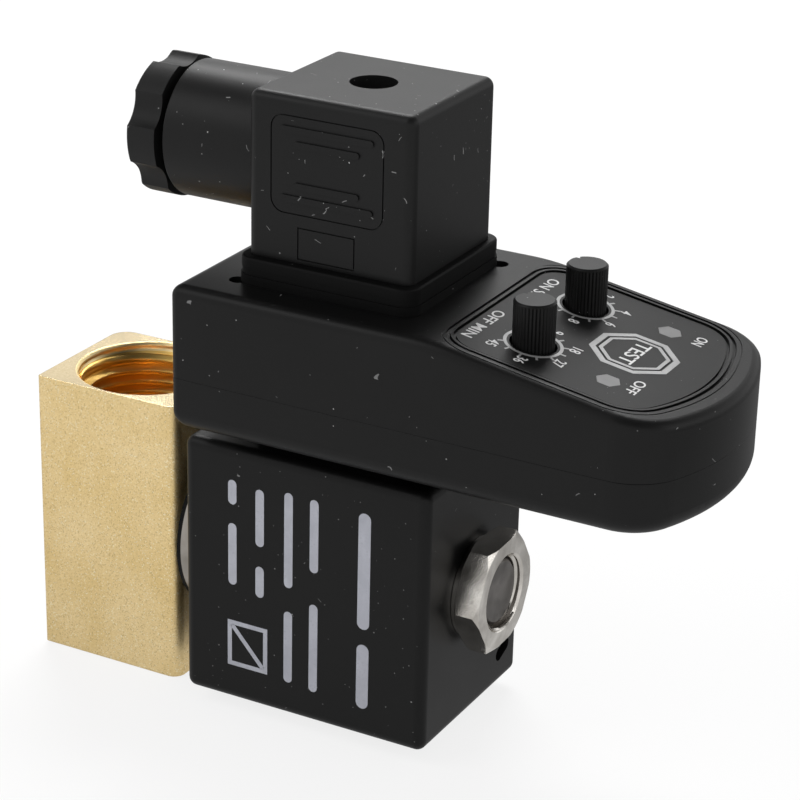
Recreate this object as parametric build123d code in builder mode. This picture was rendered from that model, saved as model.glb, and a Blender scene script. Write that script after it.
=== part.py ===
from build123d import *
import math
import os

os.makedirs("parts", exist_ok=True)

# Automatic drain valve. Millimetres, +Z up along the pipe, origin at the mouth of the lower port.
# +X runs along the armature tube, from the brass body to the nut.

# Valve body
body_half_x = 13.0
body_half_y = 11.8
body_height = 47.4
port_radius = 10.48
port_depth = 13.0
mouth_radius = 11.35
mouth_step = 0.4
mouth_depth = 1.0
mouth_taper = 0.8
front_round = 2.0
back_round = 3.0
sharp_round = 0.4
chamber_radius = 7.0
chamber_start = 1.5
seat_x = 4.5
seat_radius = 3.6
orifice_radius = 2.0
outlet_radius = 3.0
outlet_x = -3.0
inlet_radius = 2.6
inlet_x = 5.5
seal_section = 0.55
slip = 0.05
gap = 0.02

# Armature tube, along X at this height
tube_z = 24.1
tube_radius = 6.0
tube_bore = 5.6
tube_end = 57.0
collar_radius = 8.0
collar_start = 8.0
flange_radius = 10.4
flange_thick = 1.0
groove_radius = 10.1
groove_depth = 1.2
core_start = 44.0
core_end = 64.3
core_thread_radius = 5.9
core_bevel = 1.1
shading_outer = 4.4
shading_inner = 3.6
shading_depth = 1.2
plunger_start = 5.2
plunger_end = 41.2
plunger_radius = 5.52
plunger_seal_radius = 3.92
plunger_seal_depth = 1.8
spring_bore = 3.3
spring_start = 29.3
spring_wire = 0.35
spring_radius = 2.6
spring_pitch = 2.3

# Coil
plate_radius = 13.4
washer_start = 14.02
plate_start = 14.72
plate_end = 17.2
nut_washer_radius = 8.0
coil_start = 17.25
coil_end = 59.85
coil_half_y = 16.2
coil_bottom = 2.1
coil_top = 45.6
coil_round = 1.6
coil_bore = 6.75
coil_wall = 3.15
pedestal_side = 26.0
pedestal_top = 46.75
winding_room_half = 13.0
winding_room_low = 15.0
winding_room_tall = 28.5
terminal_room = 13.0
insert_bottom = 41.5
insert_radius = 2.6
coil_notch = (10.8, -16.1)
bobbin_start = 22.1
bobbin_end = 55.0
bobbin_flange = 1.4
bobbin_radius = 12.4
bobbin_barrel = 7.7
winding_radius = 11.9
yoke_start = 20.45
yoke_end = 56.65
yoke_thick = 1.5
yoke_width = 23.0
yoke_tall = 27.4
yoke_drop = 0.85
nut_start = 60.9
nut_end = 65.1
nut_flats = 17.0
nut_turn = 2.0
nut_bevel = 0.75
nut_bore = 5.95
nut_mouth = 0.4

# Plug-in contacts, shared by coil, timer and connector
contact_x = 40.5
contact_offset = 9.0
blade_width = 6.3
blade_thick = 0.8
screw_radius = 1.45
screw_clear = 1.8
hub_radius = 3.4
blade_bottom = 38.5
blade_top = 57.0
fit = 0.1
slot_room = 0.7

# Timer box
timer_left = 17.95
timer_right = 101.0
timer_half_y = 20.7
timer_bottom = 48.45
timer_parting = 57.0
timer_top = 71.7
timer_wall = 2.0
top_wall = 2.2
end_radius = 38.0
corner_radius = 9.0
top_round = 1.7
base_round = 3.0
seam_bevel = 0.1
panel_slope = 9.5
bend_start = 58.0
bend_radius = 40.0
panel_x = bend_start + bend_radius * math.tan(math.radians(panel_slope / 2))
board_bottom = 58.6
board_top = 60.2
label_left = 1.25
label_right = 34.9
label_half = 17.2
label_end_radius = 34.0
label_front_corner = 6.0
label_back_corner = 4.0
label_gap = 0.45
label_recess = 0.6
label_thick = 0.3
label_top = 0.2
border_inner = 0.9
border_outer = 1.45
border_depth = 0.5
outer_line = 2.1
outer_line_width = 0.2
outer_line_depth = 0.15
knob_x = 72.15
knob_y = 8.8
knob_radius = 3.13
knob_bottom = 66.2
knob_top = 76.5
knob_hole = 3.7
knob_pointer = 145.0
knob_rib = 0.2
knob_ribs = 36
knob_bevel = 0.3
rib_end = 0.35
pointer_inset = 0.25
rib_bottom = 69.0
pointer_side = 1.1
shaft_radius = 1.5
shaft_top = 73.5
pot_length = 9.6
pot_width = 11.0
pot_height = 4.9
button_x = 23.15
button_half = 4.97
window_x = 24.0
window_y = 10.9
window_radius = 1.9
window_thick = 2.4
lamp_x = 85.0
lamp_radius = 1.5
lamp_height = 4.0
cap_thick = 2.8
cap_flange = 0.9
cap_flange_thick = 0.7
switch_x = 84.0
switch_side = 6.0
switch_height = 2.8
plunger_height = 3.3
relay_at = (24.5, 2.0)
relay_size = (7.0, 18.0)
relay_height = 8.0
capacitor_at = (58.5, -9.0)
capacitor_radius = 4.0
capacitor_height = 7.6
pin_top = 83.0
vent_at = ((contact_x - 15.0, -13.4), (contact_x + 15.0, 13.4))
vent_radius = 1.4
post_radius = 3.0
base_screw_head = 2.1
base_screw_radius = 1.0
base_screw_length = 15.0
base_screws_at = ((23.0, 15.4), (23.0, -15.4), (89.5, 13.6), (89.5, -13.6))

# Cable connector
plug_half_x = 13.75
plug_half_y = 12.85
plug_bottom = 76.0
plug_top = 101.2
plug_round = 1.5
plug_room = (23.0, 21.2)
plug_room_tall = 18.0
head_pocket = 3.6
screw_tip = 43.0
screw_head = 2.75
screw_head_tall = 2.4
head_depth = 5.2
top_room = 8.0
frame_line = 0.2
frame_depth = 0.25
gasket_side = 30.0
gasket_width = 29.2
gasket_corner = 2.8
clamps_at = ((35.5, 6.0), (45.5, 6.0), (46.0, -6.5))
clamp_radius = 1.4
clamp_bottom = 80.3
clamp_head = 2.3
gland_z = 89.4
gland_radius = 10.55
gland_start = 10.3
gland_thread = 8.7
grommet_bore = 7.0
lobe_radius = 10.85
lobe_count = 6
lobe_turn = 35
lobe_bevel = 0.4
valley_radius = 5.0
valley_floor = 9.75
gland_nut_start = 4.0
gland_nut_head = 9.1
spigot_radius = 8.5
spigot_end = 17.4
cable_bore = 5.3
slip_washer_radius = 8.4
grommet_start = 18.55
grommet_length = 9.0
cable_grip = 4.0

plug_left = contact_x - plug_half_x
axis_plane = Plane(origin=(0, 0, tube_z), x_dir=(0, 1, 0), z_dir=(1, 0, 0))
tube_section = Plane(origin=(0, 0, tube_z), x_dir=(1, 0, 0), z_dir=(0, -1, 0))
tube_axis = Axis((0, 0, tube_z), (1, 0, 0))
gland_plane = Plane(origin=(0, 0, gland_z), x_dir=(0, 1, 0), z_dir=(1, 0, 0))
slope_vector = Vector(1, 0, 0).rotate(Axis.Y, panel_slope)
panel_plane = Plane(
    origin=(panel_x, 0, timer_top), x_dir=slope_vector, z_dir=slope_vector.rotate(Axis.Y, -90)
)

# The two supply contacts face each other along X and the earth blade stands across them.
contact_places = (
    Location((contact_x - contact_offset, 0, 0), (0, 0, 90)),
    Location((contact_x + contact_offset, 0, 0), (0, 0, 90)),
    Location((contact_x, -contact_offset, 0)),
)


def disc_along_tube(start, end, outer, inner):
    """A flat or long ring around the armature tube."""
    with BuildPart() as ring:
        with BuildSketch(axis_plane.offset(start)):
            Circle(outer)
            Circle(inner, mode=Mode.SUBTRACT)
        extrude(amount=end - start)
    return ring


def contact_sketch(width, thickness, height):
    """One rectangle at each of the three contact places."""
    with BuildSketch(Plane.XY.offset(height)) as contacts:
        with Locations(*contact_places):
            Rectangle(width, thickness)
    return contacts.sketch


def timer_outline(inset, height):
    """The timer seen from above, moved in from its outer wall by the inset."""
    end_centre = timer_right - end_radius
    with BuildSketch(Plane.XY.offset(height)) as outline:
        with Locations((end_centre, 0)):
            Circle(end_radius)
        with Locations((timer_right, 0)):
            Rectangle(2 * end_radius, 2 * timer_half_y, mode=Mode.INTERSECT)
        with Locations(((timer_left + end_centre) / 2, 0)):
            Rectangle(end_centre - timer_left, 2 * timer_half_y)
        corners = outline.vertices().group_by(Axis.X)
        fillet(corners[-1], corner_radius)
        fillet(outline.vertices().group_by(Axis.X)[0], 1.3)
        if inset:
            offset(amount=-inset, kind=Kind.INTERSECTION, mode=Mode.REPLACE)
    return outline.sketch


def timer_side(drop):
    """The timer seen from the front, with its bent top lowered by the drop."""
    top = timer_top - drop
    with BuildSketch(Plane.XZ.offset(-timer_half_y - 1)) as side:
        with BuildLine():
            flat = Line((timer_left - 5, top), (bend_start, top))
            bend = JernArc(flat @ 1, (1, 0), bend_radius, -panel_slope)
            slope = PolarLine(bend @ 1, 60, direction=bend % 1)
            Polyline(slope @ 1, ((slope @ 1).X, 0), (timer_left - 5, 0), flat @ 0)
        make_face()
    return side.sketch


def label_outline(margin, depth):
    """The panel overlay's outline, grown by the margin, at a depth below the sloped surface."""
    with BuildSketch(panel_plane.offset(-depth)) as outline:
        with Locations((label_right - label_end_radius, 0)):
            Circle(label_end_radius)
        with Locations(((label_left + label_right) / 2, 0)):
            Rectangle(label_right - label_left, 2 * label_half, mode=Mode.INTERSECT)
        fillet(outline.vertices().group_by(Axis.X)[-1], label_front_corner)
        fillet(outline.vertices().group_by(Axis.X)[0], label_back_corner)
        if margin:
            offset(amount=margin, mode=Mode.REPLACE)
    return outline.sketch


def panel_ring(outer, inner):
    """A band around the overlay, between two margins, just above the sloped surface."""
    return label_outline(outer, -1) - label_outline(inner, -1)


# Valve body: a brass block, ports up and down, and an orifice between them that the plunger closes
with BuildPart() as valve_body:
    with BuildSketch() as block:
        Rectangle(2 * body_half_x, 2 * body_half_y)
        fillet(block.vertices().group_by(Axis.X)[-1], front_round)
        fillet(block.vertices().group_by(Axis.X)[0].sort_by(Axis.Y)[0], sharp_round)
        fillet(block.vertices().group_by(Axis.X)[0].sort_by(Axis.Y)[-1], back_round)
    extrude(amount=body_height)
    with BuildSketch():
        Circle(port_radius)
    extrude(amount=port_depth, mode=Mode.SUBTRACT)
    with BuildSketch(Plane.XZ):
        with BuildLine():
            Polyline(
                (0, body_height),
                (mouth_radius, body_height),
                (mouth_radius - mouth_step, body_height - mouth_step),
                (mouth_radius - mouth_step, body_height - mouth_depth),
                (port_radius, body_height - mouth_depth - mouth_taper),
                (port_radius, body_height - port_depth),
                (0, body_height - port_depth),
                close=True,
            )
        make_face()
    revolve(axis=Axis.Z, mode=Mode.SUBTRACT)
    with BuildSketch(tube_section):
        with BuildLine():
            Polyline(
                (body_half_x, 0),
                (body_half_x, groove_radius),
                (body_half_x - groove_depth, groove_radius),
                (body_half_x - groove_depth, collar_radius + slip),
                (collar_start, collar_radius + slip),
                (collar_start, chamber_radius),
                (chamber_start, chamber_radius),
                (chamber_start, seat_radius),
                (seat_x, seat_radius),
                (seat_x, orifice_radius),
                (outlet_x, orifice_radius),
                (outlet_x, 0),
                close=True,
            )
        make_face()
    revolve(axis=tube_axis, mode=Mode.SUBTRACT)
    with BuildSketch(Plane.XY.offset(tube_z)):
        with Locations((outlet_x, 0)):
            Circle(outlet_radius)
    extrude(amount=body_height - port_depth - tube_z, mode=Mode.SUBTRACT)
    with BuildSketch(Plane.XY.offset(port_depth)):
        with Locations((inlet_x, 0)):
            Circle(inlet_radius)
    extrude(amount=tube_z - port_depth - seat_radius - chamber_start, mode=Mode.SUBTRACT)

with BuildPart() as tube_seal:
    with BuildSketch(tube_section):
        with Locations((body_half_x - groove_depth / 2, (groove_radius + collar_radius) / 2)):
            Circle(seal_section)
    revolve(axis=tube_axis)

# Armature tube with its collar in the body and its flange against the body's face
with BuildPart() as armature_tube:
    with BuildSketch(tube_section):
        with BuildLine():
            Polyline(
                (collar_start, tube_bore),
                (tube_end, tube_bore),
                (tube_end, tube_radius),
                (body_half_x + flange_thick, tube_radius),
                (body_half_x + flange_thick, flange_radius),
                (body_half_x, flange_radius),
                (body_half_x, collar_radius),
                (collar_start, collar_radius),
                close=True,
            )
        make_face()
    revolve(axis=tube_axis)

with BuildPart() as fixed_core:
    with BuildSketch(tube_section):
        with BuildLine():
            Polyline(
                (core_start, 0),
                (core_start, tube_bore - gap),
                (tube_end + gap, tube_bore - gap),
                (tube_end + gap, core_thread_radius),
                (core_end, core_thread_radius),
                (core_end, 0),
                close=True,
            )
        make_face()
    revolve(axis=tube_axis)
    chamfer(fixed_core.faces().sort_by(Axis.X)[-1].edges(), core_bevel)
    with BuildSketch(axis_plane.offset(core_start)):
        Circle(shading_outer)
        Circle(shading_inner, mode=Mode.SUBTRACT)
    extrude(amount=shading_depth, mode=Mode.SUBTRACT)

shading_ring = disc_along_tube(
    core_start + slip, core_start + shading_depth - slip, shading_outer - gap, shading_inner + gap
)

# Plunger: slides along the tube, its rubber nose on the seat
with BuildPart() as plunger:
    with BuildSketch(axis_plane.offset(plunger_start)):
        Circle(plunger_radius)
    extrude(amount=plunger_end - plunger_start)
    chamfer(plunger.faces().sort_by(Axis.X)[0].edges(), 0.6)
    with BuildSketch(axis_plane.offset(plunger_start)):
        Circle(plunger_seal_radius)
    extrude(amount=plunger_seal_depth, mode=Mode.SUBTRACT)
    with BuildSketch(axis_plane.offset(spring_start - fit)):
        Circle(spring_bore)
    extrude(amount=plunger_end - spring_start + fit, mode=Mode.SUBTRACT)

with BuildPart() as plunger_seal:
    with BuildSketch(axis_plane.offset(seat_x + gap)):
        Circle(plunger_seal_radius - gap)
    extrude(amount=plunger_start + plunger_seal_depth - seat_x - 2 * gap)

with BuildPart() as plunger_spring:
    with BuildLine() as coil_path:
        Helix(
            pitch=spring_pitch,
            height=core_start - spring_start - 2 * spring_wire - fit,
            radius=spring_radius,
            center=(spring_start + spring_wire, 0, tube_z),
            direction=(1, 0, 0),
        )
    with BuildSketch(Plane(origin=coil_path.line @ 0, z_dir=coil_path.line % 0)):
        Circle(spring_wire)
    sweep(path=coil_path.line, is_frenet=True)

coil_washer = disc_along_tube(washer_start, plate_start - gap, plate_radius, tube_radius + 3 * fit)
coil_plate = disc_along_tube(plate_start, plate_end, plate_radius, tube_radius + 3 * fit)
nut_washer = disc_along_tube(coil_end + slip, nut_start, nut_washer_radius, core_thread_radius + fit)

with BuildPart() as coil_nut:
    with BuildSketch(axis_plane.offset(nut_start)):
        RegularPolygon(nut_flats / 2, 6, major_radius=False, rotation=nut_turn)
    extrude(amount=nut_end - nut_start)
    with BuildSketch(tube_section):
        with BuildLine():
            Polyline(
                (nut_start, 0),
                (nut_start, nut_flats / 2 + nut_bevel / 3),
                (nut_start + nut_bevel, nut_flats / 2 + 2 * nut_bevel),
                (nut_end - nut_bevel, nut_flats / 2 + 2 * nut_bevel),
                (nut_end, nut_flats / 2 + nut_bevel / 3),
                (nut_end, 0),
                close=True,
            )
        make_face()
    revolve(axis=tube_axis, mode=Mode.INTERSECT)
    with BuildSketch(axis_plane.offset(nut_start)):
        Circle(nut_bore)
    extrude(amount=nut_end - nut_start, mode=Mode.SUBTRACT)
    chamfer(coil_nut.edges().filter_by(GeomType.CIRCLE).sort_by(SortBy.RADIUS)[:2], nut_mouth)

# Coil: the moulded case has room for yoke, spool and winding, and a pedestal for the timer
with BuildPart() as coil_case:
    with BuildSketch(Plane.XY.offset(coil_bottom)):
        with Locations(((coil_start + coil_end) / 2, 0)):
            Rectangle(coil_end - coil_start, 2 * coil_half_y)
    extrude(amount=coil_top - coil_bottom)
    fillet(coil_case.edges(), coil_round)
    with BuildSketch(Plane.XY.offset(coil_top)):
        with Locations((contact_x, 0)):
            RectangleRounded(pedestal_side, pedestal_side, 2.5)
    extrude(amount=pedestal_top - coil_top)
    with BuildSketch(Plane.XY.offset(tube_z - winding_room_low)):
        with Locations(((coil_start + coil_end) / 2, 0)):
            Rectangle(coil_end - coil_start - 2 * coil_wall, 2 * winding_room_half)
    extrude(amount=winding_room_tall, mode=Mode.SUBTRACT)
    with BuildSketch(axis_plane.offset(coil_start)):
        Circle(coil_bore)
    extrude(amount=coil_end - coil_start, mode=Mode.SUBTRACT)
    add(contact_sketch(blade_width + fit, blade_thick + fit, tube_z + terminal_room))
    extrude(amount=pedestal_top - tube_z - terminal_room, mode=Mode.SUBTRACT)
    with BuildSketch(Plane.XY.offset(insert_bottom)):
        with Locations((contact_x, 0)):
            Circle(insert_radius + gap)
    extrude(amount=pedestal_top - insert_bottom, mode=Mode.SUBTRACT)
    with BuildSketch(axis_plane.offset(coil_end)):
        with Locations(coil_notch):
            SlotOverall(4.6, 2.3, rotation=22)
    extrude(amount=-1.2, mode=Mode.SUBTRACT)

with BuildPart() as coil_bobbin:
    with BuildSketch(tube_section):
        with BuildLine():
            Polyline(
                (bobbin_start, coil_bore),
                (bobbin_end, coil_bore),
                (bobbin_end, bobbin_radius),
                (bobbin_end - bobbin_flange, bobbin_radius),
                (bobbin_end - bobbin_flange, bobbin_barrel),
                (bobbin_start + bobbin_flange, bobbin_barrel),
                (bobbin_start + bobbin_flange, bobbin_radius),
                (bobbin_start, bobbin_radius),
                close=True,
            )
        make_face()
    revolve(axis=tube_axis)

winding_start = bobbin_start + bobbin_flange + slip
winding_end = bobbin_end - bobbin_flange - slip
coil_winding = disc_along_tube(winding_start, winding_end, winding_radius, bobbin_barrel + slip)

with BuildPart() as coil_yoke:
    for start in (yoke_start, yoke_end - yoke_thick):
        with BuildSketch(axis_plane.offset(start)):
            with Locations((0, -yoke_drop)):
                Rectangle(yoke_width, yoke_tall)
            Circle(coil_bore + fit, mode=Mode.SUBTRACT)
        extrude(amount=yoke_thick)
    with BuildSketch(Plane.XY.offset(tube_z - yoke_drop - yoke_tall / 2)):
        with Locations(((yoke_start + yoke_end) / 2, 0)):
            Rectangle(yoke_end - yoke_start, yoke_width)
    extrude(amount=yoke_thick)

with BuildPart() as coil_terminals:
    add(contact_sketch(blade_width, blade_thick, blade_bottom))
    extrude(amount=blade_top - blade_bottom)

with BuildPart() as terminal_nut:
    with BuildSketch(Plane.XY.offset(insert_bottom + fit)):
        with Locations((contact_x, 0)):
            Circle(insert_radius)
            Circle(screw_radius + slip, mode=Mode.SUBTRACT)
    extrude(amount=pedestal_top - insert_bottom - 2 * fit)

with BuildPart() as timer_seal:
    with BuildSketch(Plane.XY.offset(pedestal_top + gap)):
        with Locations((contact_x, 0)):
            RectangleRounded(pedestal_side + 1, pedestal_side + 1, 3.0)
            Circle(screw_clear + 4 * fit, mode=Mode.SUBTRACT)
        openings = contact_sketch(blade_width + slot_room, blade_thick + slot_room, pedestal_top + gap)
        add(openings, mode=Mode.SUBTRACT)
    extrude(amount=timer_bottom - pedestal_top - 2 * gap)

# Timer base: a shallow tray under the board
with BuildPart() as timer_base:
    add(timer_outline(0, timer_bottom))
    extrude(amount=timer_parting - timer_bottom)
    left_edge = timer_base.faces().sort_by(Axis.Z)[0].edges().sort_by(Axis.X)[0]
    fillet(left_edge, base_round)
    chamfer(timer_base.faces().sort_by(Axis.Z)[-1].edges(), seam_bevel)
    add(timer_outline(timer_wall, timer_bottom + timer_wall))
    extrude(amount=timer_parting - timer_bottom - timer_wall, mode=Mode.SUBTRACT)
    with BuildSketch(Plane.XY.offset(timer_bottom)):
        with Locations(*base_screws_at):
            Circle(post_radius)
        with Locations((contact_x, 0)):
            Circle(hub_radius)
    extrude(amount=board_bottom - timer_bottom - slip)
    with BuildSketch(Plane.XY.offset(timer_bottom)):
        with Locations(*base_screws_at):
            Circle(base_screw_radius + 4 * fit)
        with Locations((contact_x, 0)):
            Circle(screw_clear)
    extrude(amount=board_bottom - timer_bottom, mode=Mode.SUBTRACT)
    with BuildSketch(Plane.XY.offset(timer_bottom)):
        with Locations(*base_screws_at):
            Circle(base_screw_head + 2 * fit)
    extrude(amount=timer_wall - 2 * fit, mode=Mode.SUBTRACT)
    add(contact_sketch(blade_width + slot_room, blade_thick + slot_room + fit, timer_bottom))
    extrude(amount=timer_wall, mode=Mode.SUBTRACT)

# Room inside the timer housing, with the screw columns left standing
with BuildPart() as timer_hollow:
    add(timer_outline(timer_wall, timer_parting))
    extrude(amount=timer_top - timer_parting)
    add(timer_side(top_wall))
    extrude(amount=2 * timer_half_y + 2, dir=(0, -1, 0), mode=Mode.INTERSECT)
    with BuildSketch(Plane.XY.offset(board_top + fit)):
        with Locations(*base_screws_at):
            Circle(post_radius - 2 * fit)
        with Locations((contact_x, 0)):
            Circle(hub_radius)
    extrude(amount=timer_top - board_top, mode=Mode.SUBTRACT)

# Timer housing: a shell whose flat top bends down to the sloped panel
with BuildPart() as timer_housing:
    add(timer_outline(0, timer_parting))
    extrude(amount=timer_top - timer_parting)
    add(timer_side(0))
    extrude(amount=2 * timer_half_y + 2, dir=(0, -1, 0), mode=Mode.INTERSECT)
    upper_edges = timer_housing.edges().filter_by(lambda edge: edge.center().Z > timer_parting + 5)
    level_edges = upper_edges.filter_by(lambda edge: abs(edge.tangent_at(0.5).Z) < 0.5)
    bend_lines = level_edges.filter_by(
        lambda edge: abs(edge.tangent_at(0.5).Y) > 0.9 and timer_left + 5 < edge.center().X < 70
    )
    fillet(level_edges - bend_lines, top_round)
    add(timer_hollow.part, mode=Mode.SUBTRACT)
    add(label_outline(label_gap, -1))
    extrude(amount=-label_recess - 1, dir=panel_plane.z_dir, mode=Mode.SUBTRACT)
    add(panel_ring(border_outer, border_inner))
    extrude(amount=-border_depth - 1, dir=panel_plane.z_dir, mode=Mode.SUBTRACT)
    add(panel_ring(outer_line + outer_line_width, outer_line))
    extrude(amount=-outer_line_depth - 1, dir=panel_plane.z_dir, mode=Mode.SUBTRACT)
    with BuildSketch(Plane.XY.offset(timer_top)):
        with Locations((knob_x, knob_y), (knob_x, -knob_y)):
            Circle(knob_hole)
    extrude(amount=-6, mode=Mode.SUBTRACT)
    with BuildSketch(panel_plane.offset(1)):
        with Locations((button_x, 0)):
            RegularPolygon(button_half + 3 * fit, 8, major_radius=False, rotation=22.5)
        with Locations((window_x, window_y), (window_x, -window_y)):
            RegularPolygon(window_radius + slip, 6)
    extrude(amount=-5, mode=Mode.SUBTRACT)
    with BuildSketch(Plane.XY.offset(timer_top)):
        with Locations((contact_x, 0)):
            Circle(screw_clear)
        add(contact_sketch(blade_width + fit, blade_thick + fit, 0))
        with Locations(*vent_at):
            Circle(vent_radius)
    extrude(amount=-top_wall + 2 * fit, mode=Mode.SUBTRACT)
    with BuildSketch(Plane.XY.offset(board_top)):
        with Locations((contact_x, 0)):
            Circle(screw_clear)
        add(contact_sketch(blade_width + fit, blade_thick + fit, 0))
    extrude(amount=timer_top - board_top, mode=Mode.SUBTRACT)
    with BuildSketch(Plane.XY.offset(board_top)):
        with Locations(*base_screws_at):
            Circle(base_screw_radius + slip)
    extrude(amount=timer_bottom + base_screw_length + 3 * fit - board_top, mode=Mode.SUBTRACT)

with BuildPart() as base_screws:
    with BuildSketch(Plane.XY.offset(timer_bottom + 2 * fit)):
        with Locations(*base_screws_at):
            Circle(base_screw_head)
    extrude(amount=timer_wall - 5 * fit)
    with BuildSketch(Plane.XY.offset(timer_bottom + 2 * fit)):
        with Locations(*base_screws_at):
            Circle(base_screw_radius)
    extrude(amount=base_screw_length)
    with BuildSketch(Plane.XY.offset(timer_bottom + 2 * fit)):
        with Locations(*base_screws_at):
            Rectangle(2.6, 0.55)
            Rectangle(0.55, 2.6)
    extrude(amount=0.8, mode=Mode.SUBTRACT)

with BuildPart() as circuit_board:
    add(timer_outline(timer_wall + 6 * fit, board_bottom))
    extrude(amount=board_top - board_bottom)
    with BuildSketch(Plane.XY.offset(board_bottom)):
        with Locations(*base_screws_at):
            Circle(base_screw_radius + 3 * fit)
        with Locations((contact_x, 0)):
            Circle(screw_clear + 2 * fit)
        add(contact_sketch(blade_width + fit, blade_thick + fit, 0))
    extrude(amount=board_top - board_bottom, mode=Mode.SUBTRACT)

with BuildPart() as timer_sockets:
    add(contact_sketch(blade_width + slot_room - fit, blade_thick + slot_room, timer_bottom + fit))
    extrude(amount=board_bottom - timer_bottom - 2 * fit)
    add(contact_sketch(blade_width + slip, blade_thick + slip, timer_bottom + fit))
    extrude(amount=blade_top + slip - timer_bottom, mode=Mode.SUBTRACT)

with BuildPart() as timer_pins:
    add(contact_sketch(blade_width, blade_thick, board_bottom + fit))
    extrude(amount=pin_top - board_bottom)

with BuildPart() as relay:
    with BuildSketch(Plane.XY.offset(board_top + gap)):
        with Locations(relay_at):
            RectangleRounded(*relay_size, 0.6)
    extrude(amount=relay_height)
    chamfer(relay.faces().sort_by(Axis.Z)[-1].edges(), 0.4)

with BuildPart() as capacitor:
    with BuildSketch(Plane.XY.offset(board_top + gap)):
        with Locations(capacitor_at):
            Circle(capacitor_radius)
    extrude(amount=capacitor_height)
    fillet(capacitor.edges().sort_by(Axis.Z)[-1], 0.5)

with BuildPart() as test_switch:
    with BuildSketch(Plane.XY.offset(board_top + gap)):
        with Locations((switch_x, 0)):
            RectangleRounded(switch_side, switch_side, 0.5)
    extrude(amount=switch_height)
    with BuildSketch(Plane.XY.offset(board_top + gap)):
        with Locations((switch_x, 0)):
            Circle(1.7)
    extrude(amount=plunger_height)

# Potentiometers stand upright on the board under the sloped panel
timer_pots = []
timer_shafts = []
timer_knobs = []
for side_y in (-knob_y, knob_y):
    with BuildPart() as pot:
        with BuildSketch(Plane.XY.offset(board_top + gap)):
            with Locations((knob_x, side_y)):
                RectangleRounded(pot_length, pot_width, 0.6)
        extrude(amount=pot_height)
        with BuildSketch(Plane.XY.offset(board_top + 1.0)):
            with Locations((knob_x, side_y)):
                Circle(shaft_radius + slip)
        extrude(amount=pot_height, mode=Mode.SUBTRACT)
    timer_pots.append(pot)

    with BuildPart() as shaft:
        with BuildSketch(Plane.XY.offset(board_top + 1.0 + slip)):
            with Locations((knob_x, side_y)):
                Circle(shaft_radius)
        extrude(amount=shaft_top - board_top - 1.0 - slip)
    timer_shafts.append(shaft)

    with BuildPart() as knob:
        with BuildSketch(Plane.XY.offset(knob_bottom)):
            with Locations((knob_x, side_y)):
                Circle(knob_radius)
        extrude(amount=knob_top - knob_bottom)
        chamfer(knob.faces().sort_by(Axis.Z)[-1].edges(), knob_bevel)
        with BuildSketch(Plane.XY.offset(rib_bottom)):
            with Locations((knob_x, side_y)):
                with PolarLocations(knob_radius + slip, knob_ribs):
                    RegularPolygon(knob_rib, 4)
        extrude(amount=knob_top - rib_bottom - rib_end, mode=Mode.SUBTRACT)
        with BuildSketch(Plane.XY.offset(knob_bottom)):
            with Locations((knob_x, side_y)):
                Circle(shaft_radius + gap)
        extrude(amount=shaft_top + slip - knob_bottom, mode=Mode.SUBTRACT)
        with BuildSketch(Plane.XY.offset(knob_top)):
            with Locations(Location((knob_x, side_y, 0), (0, 0, knob_pointer))):
                with Locations((knob_radius - pointer_inset, 0)):
                    Triangle(c=pointer_side, a=pointer_side, b=pointer_side, rotation=90)
        extrude(amount=-pointer_side, mode=Mode.SUBTRACT)
    timer_knobs.append(knob)

with BuildPart() as timer_lamps:
    with BuildSketch(Plane.XY.offset(board_top + gap)):
        with Locations((lamp_x, window_y), (lamp_x, -window_y)):
            Circle(lamp_radius)
    extrude(amount=lamp_height)
    fillet(timer_lamps.edges().group_by(Axis.Z)[-1], 1.2)

# Panel overlay, push area and light windows, all square to the slope
with BuildPart() as panel_label:
    add(label_outline(0, label_top))
    extrude(amount=-label_thick)
    with BuildSketch(Plane.XY.offset(timer_top)):
        with Locations((knob_x, knob_y), (knob_x, -knob_y)):
            Circle(knob_hole - 2 * fit)
    extrude(amount=-8, mode=Mode.SUBTRACT)
    with BuildSketch(panel_plane.offset(1)):
        with Locations((button_x, 0)):
            RegularPolygon(button_half + fit, 8, major_radius=False, rotation=22.5)
        with Locations((window_x, window_y), (window_x, -window_y)):
            RegularPolygon(window_radius + slip, 6)
    extrude(amount=-3, mode=Mode.SUBTRACT)

with BuildPart() as test_button:
    with BuildSketch(panel_plane.offset(-label_top)):
        with Locations((button_x, 0)):
            RegularPolygon(button_half, 8, major_radius=False, rotation=22.5)
    extrude(amount=-cap_thick)
    with BuildSketch(panel_plane.offset(-top_wall - 3 * fit)):
        with Locations((button_x, 0)):
            RegularPolygon(button_half + cap_flange, 8, major_radius=False, rotation=22.5)
    extrude(amount=-cap_flange_thick)

panel_windows = []
for side_y in (window_y, -window_y):
    with BuildPart() as window:
        with BuildSketch(panel_plane.offset(-label_top)):
            with Locations((window_x, side_y)):
                RegularPolygon(window_radius, 6)
        extrude(amount=-window_thick)
    panel_windows.append(window)

# Connector gasket: a skirt with two lips around the connector's foot
with BuildPart() as plug_gasket:
    foot = timer_top + gap
    levels = ((foot, 1.5, 0.0), (foot + 1.5, 1.0, 0.2), (foot + 2.5, 1.74, 0.1))
    for height, thick, inset in levels:
        with BuildSketch(Plane.XY.offset(height)):
            with Locations((contact_x, 0)):
                RectangleRounded(gasket_side - 2 * inset, gasket_width - 2 * inset, gasket_corner - inset)
        extrude(amount=thick)
    fillet(plug_gasket.faces().sort_by(Axis.Z)[-1].edges(), 0.4)
    with BuildSketch(Plane.XY.offset(timer_top)):
        with Locations((contact_x, 0)):
            Circle(screw_clear + 4 * fit)
        add(contact_sketch(blade_width + slot_room, blade_thick + slot_room, 0))
    extrude(amount=plug_bottom - timer_top + 1, mode=Mode.SUBTRACT)

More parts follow.
